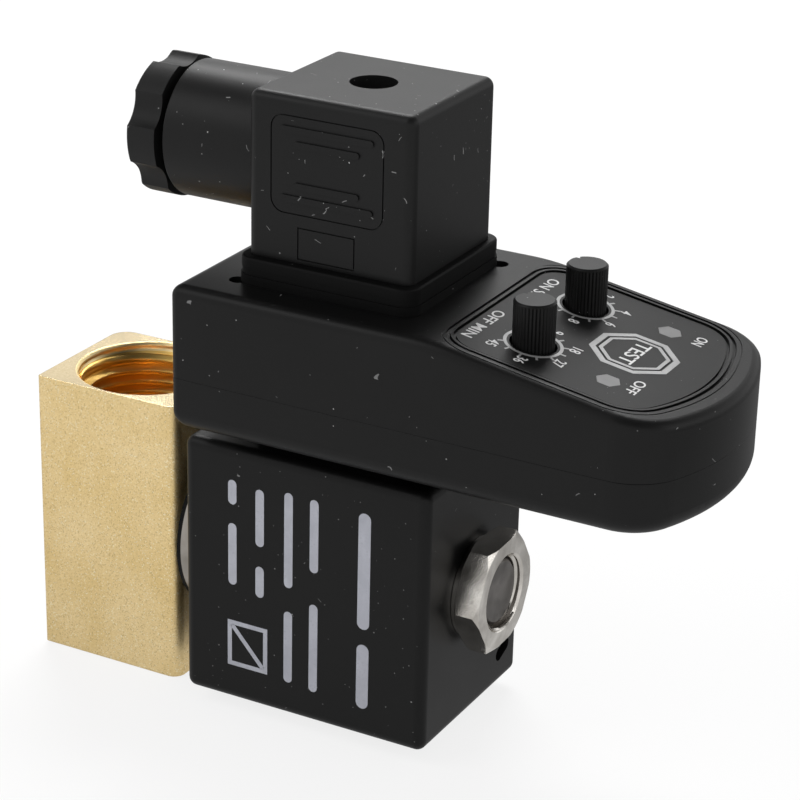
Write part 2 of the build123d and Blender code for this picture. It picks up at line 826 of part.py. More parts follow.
# Connector cover with its gland barrel
with BuildPart() as plug_housing:
    with BuildSketch(Plane.XY.offset(plug_bottom)):
        with Locations((contact_x, 0)):
            Rectangle(2 * plug_half_x, 2 * plug_half_y)
    extrude(amount=plug_top - plug_bottom)
    fillet(plug_housing.edges().filter_by(Axis.Z), plug_round)
    fillet(plug_housing.faces().sort_by(Axis.Z)[-1].edges(), plug_round)
    with BuildSketch(gland_plane.offset(gland_start)):
        Circle(gland_radius)
    extrude(amount=plug_left + 3.0 - gland_start)
    fillet(plug_housing.faces().sort_by(Axis.X)[0].edges(), 0.3)
    with BuildSketch(Plane.XY.offset(plug_bottom)):
        with Locations((contact_x, 0)):
            Rectangle(*plug_room)
    extrude(amount=plug_room_tall, mode=Mode.SUBTRACT)
    with BuildSketch(gland_plane.offset(gland_start)):
        Circle(gland_thread)
    extrude(amount=8.2, mode=Mode.SUBTRACT)
    with BuildSketch(gland_plane.offset(gland_start)):
        Circle(grommet_bore)
    extrude(amount=contact_x - 11.0 - gland_start, mode=Mode.SUBTRACT)
    with BuildSketch(Plane.XY.offset(plug_top)):
        with Locations((contact_x, 0)):
            Circle(head_pocket)
    extrude(amount=-head_depth, mode=Mode.SUBTRACT)
    with BuildSketch(Plane.XY.offset(plug_top)):
        with Locations((contact_x, 0)):
            Circle(screw_clear)
    extrude(amount=-top_room, mode=Mode.SUBTRACT)
    front_plane = Plane(origin=(contact_x - 0.4, -plug_half_y, plug_top), x_dir=(1, 0, 0), z_dir=(0, -1, 0))
    with BuildSketch(front_plane):
        with Locations((0, -10.3)):
            RectangleRounded(18.8, 15.0, 2.2)
            RectangleRounded(18.8 - 2 * frame_line, 15.0 - 2 * frame_line, 2.0, mode=Mode.SUBTRACT)
        with Locations((0, -22.1)):
            Rectangle(9.6, 5.0)
            Rectangle(9.6 - 2 * frame_line, 5.0 - 2 * frame_line, mode=Mode.SUBTRACT)
    extrude(amount=-frame_depth, mode=Mode.SUBTRACT)
    with BuildSketch(front_plane.offset(-0.01)):
        with Locations((0, -4.95), (0, -15.4)):
            SlotOverall(15.4, 1.0)
        with Locations((0, -7.1), (0, -13.35)):
            SlotOverall(10.8, 1.0)
    extrude(amount=0.26)

with BuildPart() as plug_insert:
    with BuildSketch(Plane.XY.offset(plug_bottom + 0.1)):
        with Locations((contact_x, 0)):
            RectangleRounded(22.4, 20.6, 1.0)
            Circle(screw_clear, mode=Mode.SUBTRACT)
        add(contact_sketch(7.0, 2.7, 0), mode=Mode.SUBTRACT)
    extrude(amount=8.9)
    with BuildSketch(Plane.XY.offset(clamp_bottom - 3 * fit)):
        with Locations(*clamps_at):
            Circle(clamp_radius + slip)
    extrude(amount=6.0, mode=Mode.SUBTRACT)

with BuildPart() as plug_contacts:
    add(contact_sketch(6.9, 2.5, plug_bottom + 0.3))
    extrude(amount=8.4)
    add(contact_sketch(blade_width + 0.1, blade_thick + 0.1, plug_bottom + 0.3))
    extrude(amount=7.4, mode=Mode.SUBTRACT)

with BuildPart() as clamp_screws:
    with BuildSketch(Plane.XY.offset(clamp_bottom)):
        with Locations(*clamps_at):
            Circle(clamp_radius)
    extrude(amount=5.0)
    with BuildSketch(Plane.XY.offset(85.0 + gap)):
        with Locations(*clamps_at):
            Circle(clamp_head)
    extrude(amount=1.8)

# Long screw that holds connector and timer to the coil
with BuildPart() as fixing_screw:
    with BuildSketch(Plane.XY.offset(screw_tip)):
        with Locations((contact_x, 0)):
            Circle(screw_radius)
    extrude(amount=plug_top - head_depth + fit - screw_tip)
    with BuildSketch(Plane.XY.offset(plug_top - head_depth + slip)):
        with Locations((contact_x, 0)):
            Circle(screw_head)
    extrude(amount=screw_head_tall)
    with BuildSketch(Plane.XY.offset(plug_top - head_depth + screw_head_tall + slip)):
        with Locations((contact_x, 0)):
            Rectangle(2.4 * screw_head, blade_thick)
    extrude(amount=-screw_head_tall / 2, mode=Mode.SUBTRACT)

# Cable gland: grommet, slip washer and lobed nut
with BuildPart() as gland_grommet:
    with BuildSketch(gland_plane.offset(grommet_start)):
        Circle(grommet_bore - slip)
        Circle(cable_grip, mode=Mode.SUBTRACT)
    extrude(amount=grommet_length)

with BuildPart() as gland_washer:
    with BuildSketch(gland_plane.offset(spigot_end + fit)):
        Circle(slip_washer_radius)
        Circle(cable_bore + 3 * fit, mode=Mode.SUBTRACT)
    extrude(amount=grommet_start - spigot_end - 2 * fit)

with BuildPart() as gland_nut:
    with BuildSketch(gland_plane.offset(gland_nut_start)):
        Circle(lobe_radius)
        with PolarLocations(valley_floor + valley_radius, lobe_count, start_angle=lobe_turn):
            Circle(valley_radius, mode=Mode.SUBTRACT)
    extrude(amount=gland_nut_head - gland_nut_start)
    chamfer(gland_nut.faces().sort_by(Axis.X)[0].edges(), lobe_bevel)
    with BuildSketch(gland_plane.offset(gland_nut_head)):
        Circle(spigot_radius)
    extrude(amount=spigot_end - gland_nut_head)
    with BuildSketch(gland_plane.offset(gland_nut_start)):
        Circle(cable_bore)
    extrude(amount=spigot_end - gland_nut_start, mode=Mode.SUBTRACT)

pieces = {
    "valve_body": valve_body,
    "tube_seal": tube_seal,
    "armature_tube": armature_tube,
    "fixed_core": fixed_core,
    "shading_ring": shading_ring,
    "plunger": plunger,
    "plunger_seal": plunger_seal,
    "plunger_spring": plunger_spring,
    "coil_washer": coil_washer,
    "coil_plate": coil_plate,
    "nut_washer": nut_washer,
    "coil_nut": coil_nut,
    "coil_case": coil_case,
    "coil_bobbin": coil_bobbin,
    "coil_winding": coil_winding,
    "coil_yoke": coil_yoke,
    "coil_terminals": coil_terminals,
    "terminal_nut": terminal_nut,
    "timer_seal": timer_seal,
    "timer_base": timer_base,
    "timer_housing": timer_housing,
    "base_screws": base_screws,
    "circuit_board": circuit_board,
    "timer_sockets": timer_sockets,
    "timer_pins": timer_pins,
    "relay": relay,
    "capacitor": capacitor,
    "test_switch": test_switch,
    "timer_lamps": timer_lamps,
    "off_time_pot": timer_pots[0],
    "on_time_pot": timer_pots[1],
    "off_time_shaft": timer_shafts[0],
    "on_time_shaft": timer_shafts[1],
    "off_time_knob": timer_knobs[0],
    "on_time_knob": timer_knobs[1],
    "panel_label": panel_label,
    "test_button": test_button,
    "on_window": panel_windows[0],
    "off_window": panel_windows[1],
    "plug_gasket": plug_gasket,
    "plug_housing": plug_housing,
    "plug_insert": plug_insert,
    "plug_contacts": plug_contacts,
    "clamp_screws": clamp_screws,
    "fixing_screw": fixing_screw,
    "gland_grommet": gland_grommet,
    "gland_washer": gland_washer,
    "gland_nut": gland_nut,
}
for node, piece in pieces.items():
    piece.part.label = node
    export_step(piece.part, f"parts/{node}.step")
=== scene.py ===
import math
import bpy
from mathutils import Matrix, Vector


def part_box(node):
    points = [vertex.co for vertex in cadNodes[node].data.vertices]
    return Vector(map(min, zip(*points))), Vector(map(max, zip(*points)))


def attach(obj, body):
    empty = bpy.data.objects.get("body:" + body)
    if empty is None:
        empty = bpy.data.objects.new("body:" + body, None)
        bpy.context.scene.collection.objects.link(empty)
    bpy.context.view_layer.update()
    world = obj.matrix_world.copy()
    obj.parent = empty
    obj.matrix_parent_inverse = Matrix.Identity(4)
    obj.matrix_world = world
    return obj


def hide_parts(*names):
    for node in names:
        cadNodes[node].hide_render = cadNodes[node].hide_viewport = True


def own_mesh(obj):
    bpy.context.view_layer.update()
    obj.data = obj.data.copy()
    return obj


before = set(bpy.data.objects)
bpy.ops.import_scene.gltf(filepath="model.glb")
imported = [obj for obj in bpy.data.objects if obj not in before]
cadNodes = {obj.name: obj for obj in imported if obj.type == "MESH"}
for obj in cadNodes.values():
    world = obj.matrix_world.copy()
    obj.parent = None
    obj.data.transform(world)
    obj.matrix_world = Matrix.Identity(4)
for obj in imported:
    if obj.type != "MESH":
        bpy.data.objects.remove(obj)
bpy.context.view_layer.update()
mm = 0.001
print("frame loaded:", len(cadNodes), "nodes")


def addNode(tree, kind, inputs=None, **attributes):
    made = tree.nodes.new("ShaderNode" + kind)
    for key, value in attributes.items():
        setattr(made, key, value)
    for key, value in (inputs or {}).items():
        feed(tree, made.inputs[key], value)
    return made


def feed(tree, socket, value):
    if isinstance(value, bpy.types.NodeSocket):
        tree.links.new(value, socket)
    else:
        socket.default_value = value


def calc(tree, operation, a, b=0.0, clamp=False):
    made = addNode(tree, "Math", {0: a, 1: b}, operation=operation, use_clamp=clamp)
    return made.outputs[0]


def remap(tree, value, low, high, toLow=0.0, toHigh=1.0):
    sockets = {"Value": value, "From Min": low, "From Max": high, "To Min": toLow, "To Max": toHigh}
    return addNode(tree, "MapRange", sockets).outputs[0]


def mixColour(tree, factor, first, second):
    return addNode(tree, "Mix", {0: factor, 6: first, 7: second}, data_type="RGBA").outputs[2]


def mixValue(tree, factor, first, second):
    return addNode(tree, "Mix", {0: factor, 2: first, 3: second}).outputs[0]


def grey(value):
    return (value, value, value, 1.0)


def noise(tree, coords, scale, detail=2.0, distortion=0.0):
    sockets = {"Vector": coords, "Scale": scale, "Detail": detail, "Distortion": distortion}
    return addNode(tree, "TexNoise", sockets).outputs[0]


def partCoords(tree):
    return addNode(tree, "TexCoord").outputs["Object"]


def makeGroup(name, inputs, outputs):
    group = bpy.data.node_groups.new(name, "ShaderNodeTree")
    for label, value in inputs.items():
        socket = group.interface.new_socket(name=label, in_out="INPUT", socket_type="NodeSocketFloat")
        socket.default_value = value
    for label in outputs:
        group.interface.new_socket(name=label, in_out="OUTPUT", socket_type="NodeSocketFloat")
    return group, group.nodes.new("NodeGroupInput"), group.nodes.new("NodeGroupOutput")


def useGroup(tree, group, **inputs):
    made = addNode(tree, "Group", node_tree=group)
    for label, value in inputs.items():
        feed(tree, made.inputs[label], value)
    return made.outputs


grainShape = {"scale": 2500.0, "detail": 3.0, "patchScale": 60.0, "distortion": 0.4, "patchLow": 0.3,
              "patchHigh": 0.7}


def makeGrain():
    # fine even grain of a blasted or spark-eroded surface, and slow patches over it
    inputs = {"Scale": grainShape["scale"], "Patch Scale": grainShape["patchScale"]}
    group, start, end = makeGroup("surfaceGrain", inputs, ["Height", "Patches"])
    coords = partCoords(group)
    detail = grainShape["detail"]
    fine = noise(group, coords, start.outputs["Scale"], detail)
    patches = noise(group, coords, start.outputs["Patch Scale"], detail, grainShape["distortion"])
    spread = remap(group, patches, grainShape["patchLow"], grainShape["patchHigh"])
    group.links.new(fine, end.inputs["Height"])
    group.links.new(spread, end.inputs["Patches"])
    return group


dustShape = {"scale": 500.0, "fleckSize": 0.05, "amount": 0.3, "smallest": 0.35, "largest": 1.3,
             "patchScale": 130.0, "patchLow": 0.38, "patchHigh": 0.62, "sparse": 0.15, "dense": 1.6,
             "faintest": 0.4}


def makeDust():
    # bright flecks, each in its own cell, gathered in loose patches
    inputs = {"Scale": dustShape["scale"], "Fleck Size": dustShape["fleckSize"],
              "Amount": dustShape["amount"]}
    group, start, end = makeGroup("dustFlecks", inputs, ["Mask"])
    coords = partCoords(group)
    cells = addNode(group, "TexVoronoi", {"Vector": coords, "Scale": start.outputs["Scale"]})
    pick = addNode(group, "SeparateColor", {0: cells.outputs["Color"]})
    spread = remap(group, pick.outputs[0], 0.0, 1.0, dustShape["smallest"], dustShape["largest"])
    size = calc(group, "MULTIPLY", start.outputs["Fleck Size"], spread)
    inside = calc(group, "LESS_THAN", cells.outputs["Distance"], size)
    patches = noise(group, coords, dustShape["patchScale"], 2.0)
    low, high = dustShape["patchLow"], dustShape["patchHigh"]
    gathered = remap(group, patches, low, high, dustShape["sparse"], dustShape["dense"])
    limit = calc(group, "MULTIPLY", start.outputs["Amount"], gathered)
    chosen = calc(group, "LESS_THAN", pick.outputs[1], limit)
    lit = calc(group, "MULTIPLY", inside, chosen)
    strength = remap(group, pick.outputs[2], 0.0, 1.0, dustShape["faintest"], 1.0)
    group.links.new(calc(group, "MULTIPLY", lit, strength), end.inputs["Mask"])
    return group


lintShape = {"scale": 220.0, "width": 0.006, "amount": 0.5, "level": 0.5, "patchRatio": 1.9, "fewest": 0.8,
             "most": 0.56}


def makeLint():
    # short curved hairs: thin contour lines of a noise field, kept only in a few small patches
    inputs = {"Scale": lintShape["scale"], "Width": lintShape["width"], "Amount": lintShape["amount"]}
    group, start, end = makeGroup("lintHairs", inputs, ["Mask"])
    coords = partCoords(group)
    field = noise(group, coords, start.outputs["Scale"], 0.0)
    offLine = calc(group, "ABSOLUTE", calc(group, "SUBTRACT", field, lintShape["level"]))
    hair = calc(group, "LESS_THAN", offLine, start.outputs["Width"])
    patchScale = calc(group, "MULTIPLY", start.outputs["Scale"], lintShape["patchRatio"])
    patch = noise(group, coords, patchScale, 1.0)
    threshold = remap(group, start.outputs["Amount"], 0.0, 1.0, lintShape["fewest"], lintShape["most"])
    kept = calc(group, "GREATER_THAN", patch, threshold)
    group.links.new(calc(group, "MULTIPLY", hair, kept), end.inputs["Mask"])
    return group


def makeRadius():
    # distance from a line through the part: along Z by default, along X when Along X is 1
    inputs = {"Centre X": 0.0, "Centre Y": 0.0, "Centre Z": 0.0, "Along X": 0.0}
    group, start, end = makeGroup("axisRadius", inputs, ["Radius"])
    parts = addNode(group, "SeparateXYZ", {0: partCoords(group)})
    fromX = calc(group, "SUBTRACT", parts.outputs[0], start.outputs["Centre X"])
    fromY = calc(group, "SUBTRACT", parts.outputs[1], start.outputs["Centre Y"])
    fromZ = calc(group, "SUBTRACT", parts.outputs[2], start.outputs["Centre Z"])
    across = mixValue(group, start.outputs["Along X"], fromX, fromZ)
    acrossSquared = calc(group, "MULTIPLY", across, across)
    squares = calc(group, "ADD", acrossSquared, calc(group, "MULTIPLY", fromY, fromY))
    group.links.new(calc(group, "SQRT", squares), end.inputs["Radius"])
    return group


grainGroup = makeGrain()
dustGroup = makeDust()
lintGroup = makeLint()
radiusGroup = makeRadius()
print("shared effects built")


def startMaterial(name):
    material = bpy.data.materials.new(name)
    material.use_nodes = True
    tree = material.node_tree
    tree.nodes.clear()
    shader = addNode(tree, "BsdfPrincipled")
    output = addNode(tree, "OutputMaterial")
    tree.links.new(shader.outputs[0], output.inputs[0])
    return material, tree, shader


def setSockets(tree, shader, values):
    for label, value in values.items():
        feed(tree, shader.inputs[label], value)


bevelSamples = 4


def addBump(tree, shader, height, strength, depth, edge=0.0):
    # edge is the radius, in metres, at which sharp corners catch the light
    bump = addNode(tree, "Bump", {"Height": height, "Strength": strength, "Distance": depth})
    if edge:
        rounded = addNode(tree, "Bevel", {"Radius": edge}, samples=bevelSamples)
        tree.links.new(rounded.outputs[0], bump.inputs["Normal"])
    tree.links.new(bump.outputs[0], shader.inputs["Normal"])


def grainOf(tree, scale, patchScale):
    return useGroup(tree, grainGroup, **{"Scale": scale, "Patch Scale": patchScale})


def dustOf(tree, scale, size, amount):
    return useGroup(tree, dustGroup, **{"Scale": scale, "Fleck Size": size, "Amount": amount})["Mask"]


plasticShared = {"patchScale": 45.0, "fleckScale": 430.0, "fleckSize": 0.045, "speckScale": 800.0,
                 "speckSize": 0.07, "speckShare": 0.8, "speckStrength": 0.6, "hairScale": 260.0,
                 "hairWidth": 0.007, "hairStrength": 0.45, "roughBelow": 0.03, "roughAbove": 0.04,
                 "dustRough": 0.8, "bumpDepth": 0.03 * mm}


def mouldedPlastic(name, own):
    settings = dict(plasticShared, **own)
    material, tree, shader = startMaterial(name)
    grain = grainOf(tree, settings["grainScale"], settings["patchScale"])
    dust = settings["dust"]
    flecks = dustOf(tree, settings["fleckScale"], settings["fleckSize"], dust)
    specks = dustOf(tree, settings["speckScale"], settings["speckSize"], dust * settings["speckShare"])
    lint = {"Scale": settings["hairScale"], "Width": settings["hairWidth"], "Amount": settings["lint"]}
    hairs = useGroup(tree, lintGroup, **lint)["Mask"]
    dirt = calc(tree, "MAXIMUM", flecks, calc(tree, "MULTIPLY", specks, settings["speckStrength"]))
    dirt = calc(tree, "ADD", dirt, calc(tree, "MULTIPLY", hairs, settings["hairStrength"]), clamp=True)
    tone = mixColour(tree, grain["Patches"], grey(settings["dark"]), grey(settings["light"]))
    colour = mixColour(tree, dirt, tone, grey(settings["dustTone"]))
    lowRough = settings["rough"] - settings["roughBelow"]
    rough = remap(tree, grain["Patches"], 0.0, 1.0, lowRough, settings["rough"] + settings["roughAbove"])
    rough = mixValue(tree, dirt, rough, settings["dustRough"])
    setSockets(tree, shader, {"Base Color": colour, "Roughness": rough})
    shader.inputs["Specular IOR Level"].default_value = settings["gloss"]
    addBump(tree, shader, grain["Height"], settings["bump"], settings["bumpDepth"])
    return material


plasticSettings = {
    "housingPlastic": {"dark": 0.0045, "light": 0.0065, "rough": 0.4, "gloss": 0.18, "grainScale": 5200.0,
                       "bump": 0.3, "dust": 0.32, "lint": 0.3, "dustTone": 0.4},
    "connectorPlastic": {"dark": 0.005, "light": 0.0075, "rough": 0.42, "gloss": 0.2, "grainScale": 4300.0,
                         "bump": 0.35, "dust": 0.62, "lint": 0.5, "dustTone": 0.5},
    "coilPlastic": {"dark": 0.0045, "light": 0.006, "rough": 0.4, "gloss": 0.17, "grainScale": 5200.0,
                    "bump": 0.3, "dust": 0.2, "lint": 0.2, "dustTone": 0.4},
    "knobPlastic": {"dark": 0.004, "light": 0.006, "rough": 0.42, "gloss": 0.22, "grainScale": 6000.0,
                    "bump": 0.3, "dust": 0.5, "lint": 0.1, "dustTone": 0.45},
    "glandPlastic": {"dark": 0.006, "light": 0.009, "rough": 0.5, "gloss": 0.22, "grainScale": 3000.0,
                     "bump": 0.5, "dust": 0.3, "lint": 0.25, "dustTone": 0.4},
    "gasketRubber": {"dark": 0.003, "light": 0.0045, "rough": 0.55, "gloss": 0.1, "grainScale": 3500.0,
                     "bump": 0.4, "dust": 0.3, "lint": 0.1, "dustTone": 0.34},
    "spoolPlastic": {"dark": 0.5, "light": 0.56, "rough": 0.45, "gloss": 0.5, "grainScale": 3000.0,
                     "bump": 0.2, "dust": 0.02, "lint": 0.0, "dustTone": 0.6},
    "componentPlastic": {"dark": 0.02, "light": 0.03, "rough": 0.45, "gloss": 0.45, "grainScale": 3500.0,
                         "bump": 0.3, "dust": 0.05, "lint": 0.0, "dustTone": 0.3},
}


def brassFinish(settings):
    material, tree, shader = startMaterial("blastedBrass")
    grain = grainOf(tree, settings["grainScale"], settings["patchScale"])
    coords = partCoords(tree)
    radius = useGroup(tree, radiusGroup)["Radius"]
    normal = addNode(tree, "NewGeometry").outputs["Normal"]
    up = calc(tree, "ABSOLUTE", addNode(tree, "SeparateXYZ", {0: normal}).outputs[2])
    machined = remap(tree, up, settings["topStart"], settings["topFull"])
    dished = calc(tree, "LESS_THAN", radius, settings["mouthRadius"])
    bored = calc(tree, "LESS_THAN", radius, settings["boreRadius"])
    smooth = calc(tree, "MAXIMUM", machined, dished)
    # coarse facets give the blasted faces their grain; the palest of them are a painted glint, near-white
    # colour standing in for sparkle
    facets = addNode(tree, "TexVoronoi", {"Vector": coords, "Scale": settings["facetScale"]})
    facetParts = addNode(tree, "SeparateColor", {0: facets.outputs["Color"]})
    facetTone = facetParts.outputs[0]
    # painted glint: a few random facets are marked for a near-white colour in place of light sparkling off
    # them
    paintedGlints = calc(tree, "GREATER_THAN", facetParts.outputs[1], settings["paintedGlintAbove"])
    pitted = calc(tree, "GREATER_THAN", facetParts.outputs[2], settings["pittedAbove"])
    warm = mixColour(tree, grain["Patches"], settings["warm"], settings["pale"])
    toned = warm
    # the last pass paints the near-white glint colour onto the marked facets
    for mask, kind in ((facetTone, "deep"), (pitted, "pit"), (paintedGlints, "paintedGlint")):
        share = calc(tree, "MULTIPLY", mask, settings[kind + "Share"])
        toned = mixColour(tree, share, toned, settings[kind])
    topGrain = remap(tree, grain["Height"], settings["topGrainLow"], settings["topGrainHigh"])
    top = mixColour(tree, topGrain, settings["topColour"], settings["topDeep"])
    colour = mixColour(tree, machined, toned, top)
    colour = mixColour(tree, dished, colour, settings["dishColour"])
    colour = mixColour(tree, bored, colour, settings["boreColour"])
    rings = calc(tree, "SINE", calc(tree, "MULTIPLY", radius, settings["ringPitch"]))
    blasted = calc(tree, "ADD", grain["Height"], facetTone)
    height = mixValue(tree, smooth, blasted, calc(tree, "MULTIPLY", rings, settings["ringHeight"]))
    rough = mixValue(tree, smooth, settings["roughBlasted"], settings["roughMachined"])
    rough = mixValue(tree, dished, rough, settings["roughDish"])
    spread = settings["roughSpread"]
    rough = calc(tree, "ADD", rough, remap(tree, grain["Patches"], 0.0, 1.0, -spread, spread))
    setSockets(tree, shader, {"Base Color": colour, "Roughness": rough, "Metallic": 1.0})
    addBump(tree, shader, height, settings["bump"], settings["bumpDepth"], settings["edge"])
    return material


brassSettings = {
    "warm": (0.84, 0.63, 0.29, 1), "pale": (0.94, 0.75, 0.42, 1), "deep": (0.62, 0.42, 0.16, 1),
    # the near-white colour for the marked facets below is a painted glint
    "pit": (0.36, 0.22, 0.07, 1), "paintedGlint": (1.0, 0.93, 0.72, 1), "topColour": (0.86, 0.71, 0.45, 1),
    "topDeep": (0.8, 0.64, 0.37, 1), "boreColour": (0.92, 0.6, 0.18, 1),
    "dishColour": (1.0, 0.8, 0.42, 1), "grainScale": 2600.0,
    "facetScale": 5800.0, "mouthRadius": 11.4 * mm, "boreRadius": 10.75 * mm, "ringPitch": 60000.0,
    "roughBlasted": 0.42, "roughMachined": 0.17, "roughDish": 0.34, "roughSpread": 0.04, "bump": 0.9,
    "bumpDepth": 0.05 * mm, "edge": 0.4 * mm, "patchScale": 90.0, "topStart": 0.85, "topFull": 0.97,
    "paintedGlintAbove": 0.94, "pittedAbove": 0.9, "deepShare": 0.3, "pitShare": 0.34, "paintedGlintShare": 0.6,
    "topGrainLow": 0.35, "topGrainHigh": 0.65, "ringHeight": 0.05,
}


metalShared = {"patchScale": 160.0, "ringPitch": 40000.0, "rings": 0.0, "alongX": 0.0, "centreZ": 0.0,
               "spotScale": 900.0, "spotLow": 0.66, "spotHigh": 0.72, "stain": 0.2, "roughLow": 0.8,
               "roughHigh": 1.2, "bumpDepth": 0.02 * mm, "edge": 0.12 * mm}


def metalFinish(name, own):
    settings = dict(metalShared, **own)
    material, tree, shader = startMaterial(name)
    grain = grainOf(tree, settings["grainScale"], settings["patchScale"])
    axis = {"Along X": settings["alongX"], "Centre Z": settings["centreZ"]}
    radius = useGroup(tree, radiusGroup, **axis)["Radius"]
    rings = calc(tree, "SINE", calc(tree, "MULTIPLY", radius, settings["ringPitch"]))
    height = calc(tree, "ADD", grain["Height"], calc(tree, "MULTIPLY", rings, settings["rings"]))
    colour = mixColour(tree, grain["Patches"], settings["dark"], settings["light"])
    spotNoise = noise(tree, partCoords(tree), settings["spotScale"], 2.0)
    spots = remap(tree, spotNoise, settings["spotLow"], settings["spotHigh"])
    colour = mixColour(tree, calc(tree, "MULTIPLY", spots, settings["stain"]), colour, settings["dark"])
    lowRough = settings["rough"] * settings["roughLow"]
    rough = remap(tree, grain["Patches"], 0.0, 1.0, lowRough, settings["rough"] * settings["roughHigh"])
    setSockets(tree, shader, {"Base Color": colour, "Roughness": rough, "Metallic": 1.0})
    addBump(tree, shader, height, settings["bump"], settings["bumpDepth"], settings["edge"])
    return material


tubeHeight = 24.1 * mm
metalSettings = {
    "nickelPlate": {"dark": (0.42, 0.395, 0.36, 1), "light": (0.86, 0.83, 0.78, 1), "rough": 0.14,
                    "grainScale": 5200.0, "bump": 1.0, "stain": 0.5},
    "turnedSteel": {"dark": (0.26, 0.24, 0.21, 1), "light": (0.4, 0.37, 0.34, 1), "rough": 0.38,
                    "grainScale": 3000.0, "bump": 0.5, "alongX": 1.0, "centreZ": tubeHeight, "rings": 0.8},
    "coreSteel": {"dark": (0.1, 0.093, 0.087, 1), "light": (0.3, 0.284, 0.272, 1), "rough": 0.42,
                  "stain": 0.7, "grainScale": 2400.0, "bump": 0.6, "alongX": 1.0, "centreZ": tubeHeight,
                  "rings": 0.4},
    "drawnStainless": {"dark": (0.5, 0.49, 0.47, 1), "light": (0.62, 0.61, 0.59, 1), "rough": 0.25,
                       "grainScale": 2500.0, "bump": 0.3, "alongX": 1.0, "centreZ": tubeHeight,
                       "rings": 0.3},
    "tinnedMetal": {"dark": (0.6, 0.59, 0.57, 1), "light": (0.76, 0.75, 0.73, 1), "rough": 0.28,
                    "grainScale": 3500.0, "bump": 0.3},
}


copperSettings = {"turnPitch": 0.22 * mm, "grainScale": 700.0, "patchScale": 120.0,
                  # the dark valley colour is painted shade for the creases between turns
                  "paintedValleyShade": (0.2, 0.05, 0.015, 1), "crown": (0.72, 0.3, 0.12, 1), "roughLow": 0.22,
                  "roughHigh": 0.36, "coat": 0.6, "bump": 0.8, "bumpDepth": 0.04 * mm}


def copperWinding(settings):
    material, tree, shader = startMaterial("enamelledCopper")
    coords = addNode(tree, "SeparateXYZ", {0: partCoords(tree)})
    phase = calc(tree, "MULTIPLY", coords.outputs[0], 2 * math.pi / settings["turnPitch"])
    turns = calc(tree, "SINE", phase)
    rounded = calc(tree, "SQRT", remap(tree, turns, -1.0, 1.0))
    grain = grainOf(tree, settings["grainScale"], settings["patchScale"])
    # painted shade: the colour darkens into the valleys between turns, where the crease would be shaded
    colour = mixColour(tree, rounded, settings["paintedValleyShade"], settings["crown"])
    rough = remap(tree, grain["Patches"], 0.0, 1.0, settings["roughLow"], settings["roughHigh"])
    setSockets(tree, shader, {"Base Color": colour, "Metallic": 1.0, "Roughness": rough})
    shader.inputs["Coat Weight"].default_value = settings["coat"]
    addBump(tree, shader, rounded, settings["bump"], settings["bumpDepth"])
    return material


boardSettings = {"traceScale": 330.0, "traceWidth": 0.035, "traceShare": 0.5, "padScale": 260.0,
                 "padSpread": 0.35, "padSize": 0.16, "grainScale": 1800.0, "patchScale": 90.0,
                 "deepGreen": (0.01, 0.1, 0.035, 1), "paleGreen": (0.014, 0.13, 0.05, 1),
                 "traceGreen": (0.03, 0.22, 0.09, 1), "tin": (0.6, 0.58, 0.52, 1), "roughMask": 0.35,
                 "roughTin": 0.25, "bump": 0.3, "bumpDepth": 0.03 * mm}


def boardFinish(settings):
    material, tree, shader = startMaterial("circuitBoardMask")
    coords = partCoords(tree)
    brick = {"Vector": coords, "Scale": settings["traceScale"], "Color1": grey(0.0), "Color2": grey(0.0),
             "Mortar": grey(1.0), "Mortar Size": settings["traceWidth"]}
    traces = addNode(tree, "TexBrick", brick).outputs["Color"]
    spots = {"Vector": coords, "Scale": settings["padScale"], "Randomness": settings["padSpread"]}
    pads = addNode(tree, "TexVoronoi", spots)
    padMask = calc(tree, "LESS_THAN", pads.outputs["Distance"], settings["padSize"])
    grain = grainOf(tree, settings["grainScale"], settings["patchScale"])
    mask = mixColour(tree, grain["Patches"], settings["deepGreen"], settings["paleGreen"])
    share = calc(tree, "MULTIPLY", traces, settings["traceShare"])
    mask = mixColour(tree, share, mask, settings["traceGreen"])
    colour = mixColour(tree, padMask, mask, settings["tin"])
    rough = mixValue(tree, padMask, settings["roughMask"], settings["roughTin"])
    setSockets(tree, shader, {"Base Color": colour, "Roughness": rough})
    addBump(tree, shader, calc(tree, "ADD", traces, padMask), settings["bump"], settings["bumpDepth"])
    return material


overlaySettings = {"grainScale": 6500.0, "patchScale": 70.0, "fleckScale": 520.0, "fleckSize": 0.045,
                   "flecks": 0.22, "fineScale": 1500.0, "fineSize": 0.11, "fine": 0.2, "fineStrength": 0.4,
                   "dark": 0.0065, "light": 0.009, "dustTone": 0.36, "roughLow": 0.43, "roughHigh": 0.48,
                   "gloss": 0.15, "bump": 0.35, "bumpDepth": 0.02 * mm}


def overlayFilm(settings):
    # printed film: charcoal ground under a fine matt texture
    material, tree, shader = startMaterial("overlayFilm")
    grain = grainOf(tree, settings["grainScale"], settings["patchScale"])
    flecks = dustOf(tree, settings["fleckScale"], settings["fleckSize"], settings["flecks"])
    fine = dustOf(tree, settings["fineScale"], settings["fineSize"], settings["fine"])
    ground = mixColour(tree, grain["Patches"], grey(settings["dark"]), grey(settings["light"]))
    dirt = calc(tree, "MAXIMUM", flecks, calc(tree, "MULTIPLY", fine, settings["fineStrength"]))
    colour = mixColour(tree, dirt, ground, grey(settings["dustTone"]))
    rough = remap(tree, grain["Patches"], 0.0, 1.0, settings["roughLow"], settings["roughHigh"])
    setSockets(tree, shader, {"Base Color": colour, "Roughness": rough})
    shader.inputs["Specular IOR Level"].default_value = settings["gloss"]
    addBump(tree, shader, grain["Height"], settings["bump"], settings["bumpDepth"])
    return material


